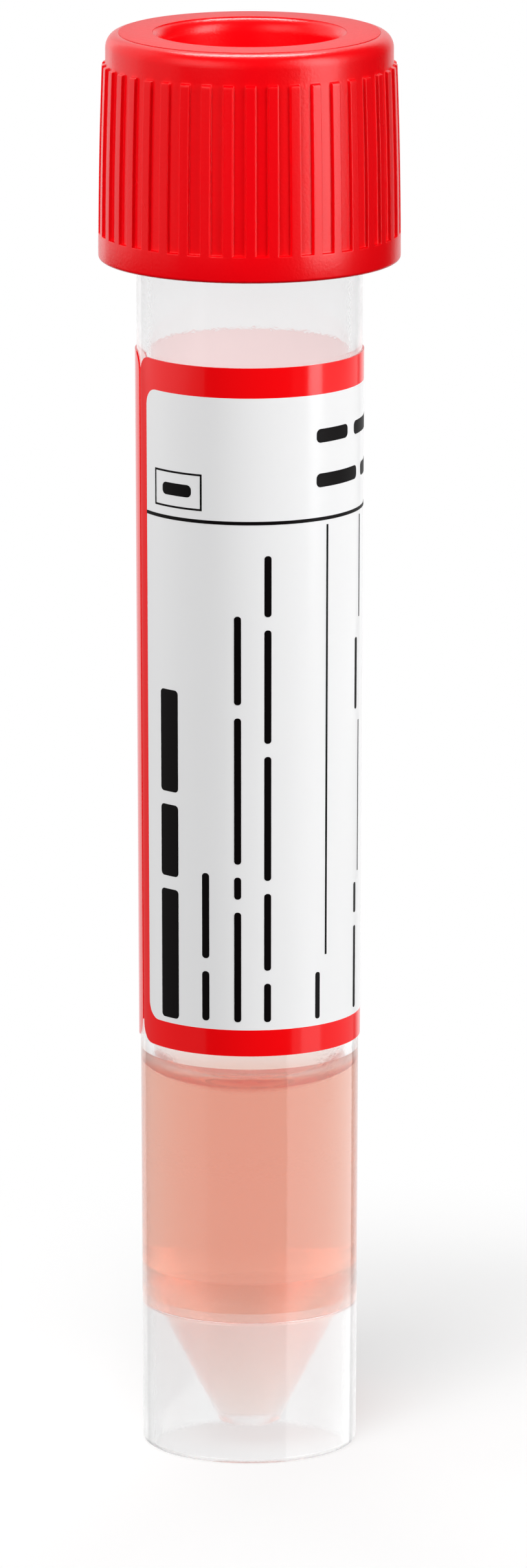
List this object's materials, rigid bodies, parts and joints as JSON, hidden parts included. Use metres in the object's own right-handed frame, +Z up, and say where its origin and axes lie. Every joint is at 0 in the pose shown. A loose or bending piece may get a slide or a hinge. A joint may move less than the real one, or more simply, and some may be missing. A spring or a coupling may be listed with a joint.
{
  "type": "specimen transport tube with screw cap",
  "caption": "Self-standing conical-bottom specimen tube with a ribbed red screw cap, a wrapped label and a fill of pink transport medium.",
  "frame": {"origin": "centre of the ring that the tube stands on, at the surface", "axes": "+Z up along the tube's axis, towards the cap; -Y is the side that the label's print faces"},
  "size_m": [0.0214, 0.0214, 0.1025],
  "materials": {
    "tube_plastic": "translucent natural polypropylene, faintly frosted",
    "cap_plastic": "red moulded polypropylene, satin",
    "label_film": "white printed film with a red border, semi-gloss",
    "medium": "clear salmon-pink liquid"
  },
  "bodies": {
    "tube_body": {"tube": "tube_plastic", "label": "label_film", "transport_medium": "medium"},
    "cap": {"screw_cap": "cap_plastic"}
  },
  "joints": [
    {"name": "cap_lift", "type": "slide", "parent": "tube_body", "child": "cap", "axis": [0, 0, 1], "range_m": [0, 0.022]}
  ]
}
